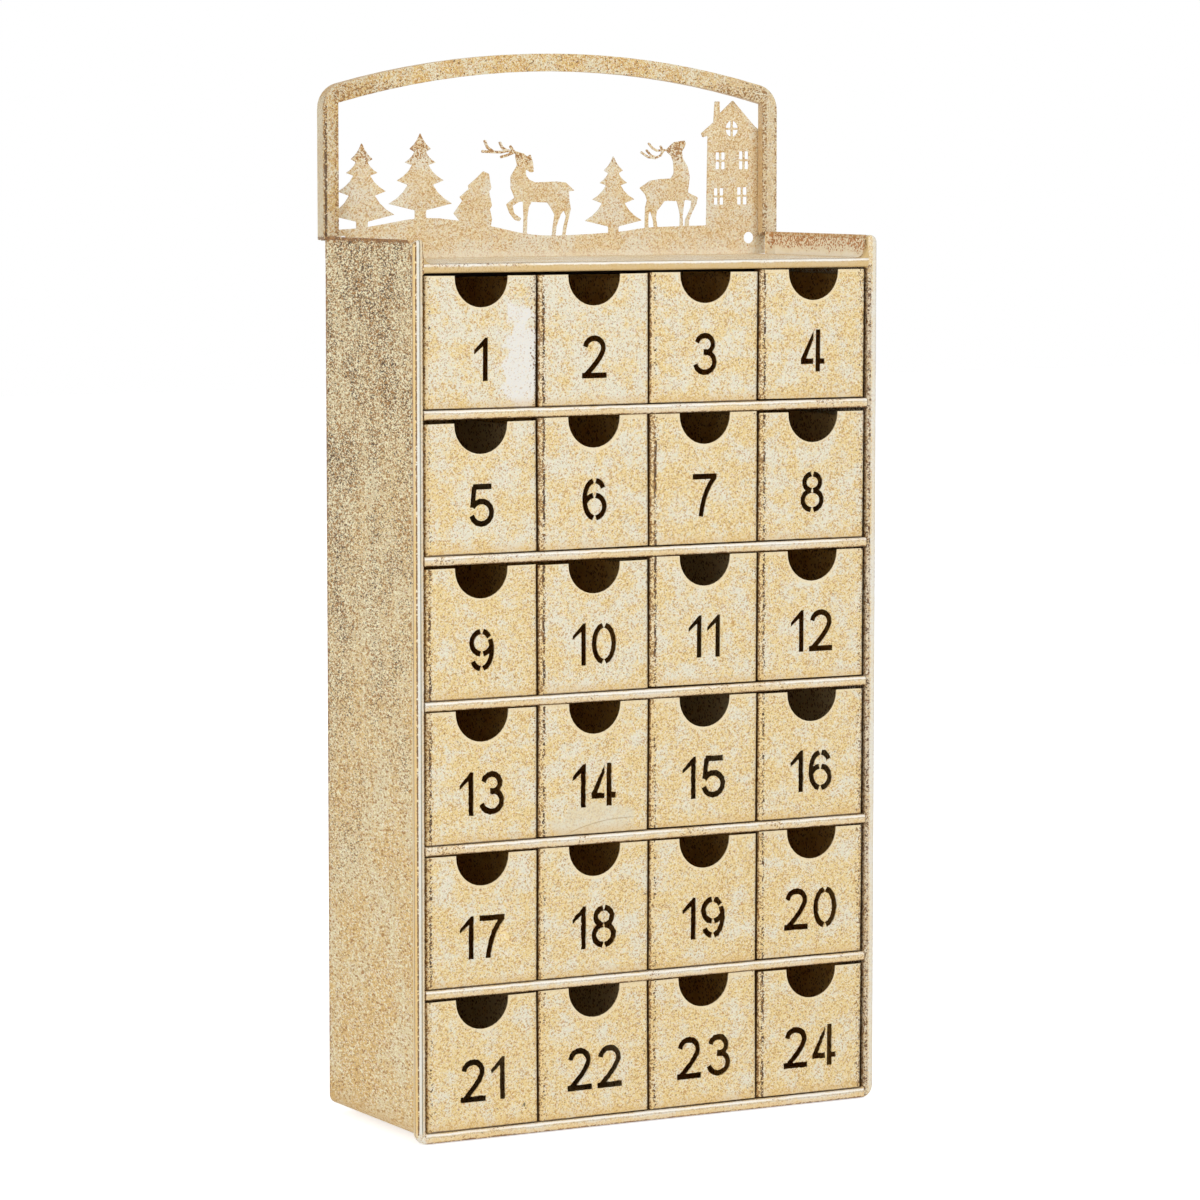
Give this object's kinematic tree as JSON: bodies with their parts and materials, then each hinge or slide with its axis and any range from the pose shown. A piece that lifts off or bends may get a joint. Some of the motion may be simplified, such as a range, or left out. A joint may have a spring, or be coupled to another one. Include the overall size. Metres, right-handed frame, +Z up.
{
  "type": "advent calendar",
  "caption": "Free-standing sheet-metal advent cabinet with numbered sliding drawers, an open tray on top and an arched cut-out winter scene behind it",
  "frame": {"origin": "centre of the bounding box at the base, on the surface the calendar stands on", "axes": "+Z up, the drawer fronts face -Y, +X is the viewer's right when facing the numbers"},
  "size_m": [0.24, 0.0988, 0.489],
  "materials": {
    "shell_paint": "antiqued grey-white and gold paint with dense brown speckle, low sheen",
    "frame_paint": "cream white over champagne gold, low sheen",
    "crown_paint": "champagne gold with fine rust speckle, low sheen",
    "drawer_front_paint": "champagne gold mottled with warm white, fine brown speckle, low sheen",
    "drawer_tray_paint": "dark brown unlit inside, dull"
  },
  "bodies": {
    "cabinet": {"cabinet_shell": "shell_paint", "back_panel": "shell_paint", "front_frame": "frame_paint", "shelf_1": "frame_paint", "shelf_2": "frame_paint", "shelf_3": "frame_paint", "shelf_4": "frame_paint", "shelf_5": "frame_paint", "tray_floor": "crown_paint", "crown_frame": "crown_paint", "scene_sheet": "crown_paint"},
    "drawer_01": {"drawer_01_front": "drawer_front_paint", "drawer_01_tray": "drawer_tray_paint"},
    "drawer_02": {"drawer_02_front": "drawer_front_paint", "drawer_02_tray": "drawer_tray_paint"},
    "drawer_03": {"drawer_03_front": "drawer_front_paint", "drawer_03_tray": "drawer_tray_paint"},
    "drawer_04": {"drawer_04_front": "drawer_front_paint", "drawer_04_tray": "drawer_tray_paint"},
    "drawer_05": {"drawer_05_front": "drawer_front_paint", "drawer_05_tray": "drawer_tray_paint"},
    "drawer_06": {"drawer_06_front": "drawer_front_paint", "drawer_06_tray": "drawer_tray_paint"},
    "drawer_07": {"drawer_07_front": "drawer_front_paint", "drawer_07_tray": "drawer_tray_paint"},
    "drawer_08": {"drawer_08_front": "drawer_front_paint", "drawer_08_tray": "drawer_tray_paint"},
    "drawer_09": {"drawer_09_front": "drawer_front_paint", "drawer_09_tray": "drawer_tray_paint"},
    "drawer_10": {"drawer_10_front": "drawer_front_paint", "drawer_10_tray": "drawer_tray_paint"},
    "drawer_11": {"drawer_11_front": "drawer_front_paint", "drawer_11_tray": "drawer_tray_paint"},
    "drawer_12": {"drawer_12_front": "drawer_front_paint", "drawer_12_tray": "drawer_tray_paint"},
    "drawer_13": {"drawer_13_front": "drawer_front_paint", "drawer_13_tray": "drawer_tray_paint"},
    "drawer_14": {"drawer_14_front": "drawer_front_paint", "drawer_14_tray": "drawer_tray_paint"},
    "drawer_15": {"drawer_15_front": "drawer_front_paint", "drawer_15_tray": "drawer_tray_paint"},
    "drawer_16": {"drawer_16_front": "drawer_front_paint", "drawer_16_tray": "drawer_tray_paint"},
    "drawer_17": {"drawer_17_front": "drawer_front_paint", "drawer_17_tray": "drawer_tray_paint"},
    "drawer_18": {"drawer_18_front": "drawer_front_paint", "drawer_18_tray": "drawer_tray_paint"},
    "drawer_19": {"drawer_19_front": "drawer_front_paint", "drawer_19_tray": "drawer_tray_paint"},
    "drawer_20": {"drawer_20_front": "drawer_front_paint", "drawer_20_tray": "drawer_tray_paint"},
    "drawer_21": {"drawer_21_front": "drawer_front_paint", "drawer_21_tray": "drawer_tray_paint"},
    "drawer_22": {"drawer_22_front": "drawer_front_paint", "drawer_22_tray": "drawer_tray_paint"},
    "drawer_23": {"drawer_23_front": "drawer_front_paint", "drawer_23_tray": "drawer_tray_paint"},
    "drawer_24": {"drawer_24_front": "drawer_front_paint", "drawer_24_tray": "drawer_tray_paint"}
  },
  "joints": [
    {"name": "drawer_01_slide", "type": "slide", "parent": "cabinet", "child": "drawer_01", "axis": [0, -1, 0], "range_m": [0, 0.072]},
    {"name": "drawer_02_slide", "type": "slide", "parent": "cabinet", "child": "drawer_02", "axis": [0, -1, 0], "range_m": [0, 0.072]},
    {"name": "drawer_03_slide", "type": "slide", "parent": "cabinet", "child": "drawer_03", "axis": [0, -1, 0], "range_m": [0, 0.072]},
    {"name": "drawer_04_slide", "type": "slide", "parent": "cabinet", "child": "drawer_04", "axis": [0, -1, 0], "range_m": [0, 0.072]},
    {"name": "drawer_05_slide", "type": "slide", "parent": "cabinet", "child": "drawer_05", "axis": [0, -1, 0], "range_m": [0, 0.072]},
    {"name": "drawer_06_slide", "type": "slide", "parent": "cabinet", "child": "drawer_06", "axis": [0, -1, 0], "range_m": [0, 0.072]},
    {"name": "drawer_07_slide", "type": "slide", "parent": "cabinet", "child": "drawer_07", "axis": [0, -1, 0], "range_m": [0, 0.072]},
    {"name": "drawer_08_slide", "type": "slide", "parent": "cabinet", "child": "drawer_08", "axis": [0, -1, 0], "range_m": [0, 0.072]},
    {"name": "drawer_09_slide", "type": "slide", "parent": "cabinet", "child": "drawer_09", "axis": [0, -1, 0], "range_m": [0, 0.072]},
    {"name": "drawer_10_slide", "type": "slide", "parent": "cabinet", "child": "drawer_10", "axis": [0, -1, 0], "range_m": [0, 0.072]},
    {"name": "drawer_11_slide", "type": "slide", "parent": "cabinet", "child": "drawer_11", "axis": [0, -1, 0], "range_m": [0, 0.072]},
    {"name": "drawer_12_slide", "type": "slide", "parent": "cabinet", "child": "drawer_12", "axis": [0, -1, 0], "range_m": [0, 0.072]},
    {"name": "drawer_13_slide", "type": "slide", "parent": "cabinet", "child": "drawer_13", "axis": [0, -1, 0], "range_m": [0, 0.072]},
    {"name": "drawer_14_slide", "type": "slide", "parent": "cabinet", "child": "drawer_14", "axis": [0, -1, 0], "range_m": [0, 0.072]},
    {"name": "drawer_15_slide", "type": "slide", "parent": "cabinet", "child": "drawer_15", "axis": [0, -1, 0], "range_m": [0, 0.072]},
    {"name": "drawer_16_slide", "type": "slide", "parent": "cabinet", "child": "drawer_16", "axis": [0, -1, 0], "range_m": [0, 0.072]},
    {"name": "drawer_17_slide", "type": "slide", "parent": "cabinet", "child": "drawer_17", "axis": [0, -1, 0], "range_m": [0, 0.072]},
    {"name": "drawer_18_slide", "type": "slide", "parent": "cabinet", "child": "drawer_18", "axis": [0, -1, 0], "range_m": [0, 0.072]},
    {"name": "drawer_19_slide", "type": "slide", "parent": "cabinet", "child": "drawer_19", "axis": [0, -1, 0], "range_m": [0, 0.072]},
    {"name": "drawer_20_slide", "type": "slide", "parent": "cabinet", "child": "drawer_20", "axis": [0, -1, 0], "range_m": [0, 0.072]},
    {"name": "drawer_21_slide", "type": "slide", "parent": "cabinet", "child": "drawer_21", "axis": [0, -1, 0], "range_m": [0, 0.072]},
    {"name": "drawer_22_slide", "type": "slide", "parent": "cabinet", "child": "drawer_22", "axis": [0, -1, 0], "range_m": [0, 0.072]},
    {"name": "drawer_23_slide", "type": "slide", "parent": "cabinet", "child": "drawer_23", "axis": [0, -1, 0], "range_m": [0, 0.072]},
    {"name": "drawer_24_slide", "type": "slide", "parent": "cabinet", "child": "drawer_24", "axis": [0, -1, 0], "range_m": [0, 0.072]}
  ]
}
